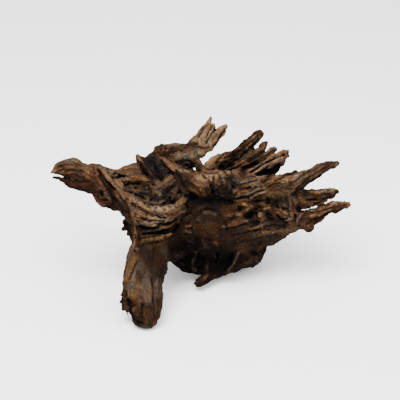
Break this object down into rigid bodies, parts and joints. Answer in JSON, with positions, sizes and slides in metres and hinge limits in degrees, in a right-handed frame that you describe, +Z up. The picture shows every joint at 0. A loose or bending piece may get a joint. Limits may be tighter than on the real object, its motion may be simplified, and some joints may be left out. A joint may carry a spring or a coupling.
{
  "type": "driftwood piece",
  "caption": "Weathered driftwood root piece with a stout leg, a long beaked limb, a split branch, a hollow bowl and a crown of torn prongs.",
  "frame": {"origin": "middle of the box on the ground that the piece stands on", "axes": "+X from the beaked limb to the long prongs, +Y from the leg to the back, +Z up"},
  "size_m": [0.2994, 0.2034, 0.1529],
  "materials": {
    "weathered_ebony": "weathered dark brown wood, matt, with pale tan ridges and near-black hollows"
  },
  "bodies": {
    "root": {"ebony_trunk": "weathered_ebony"}
  },
  "joints": []
}
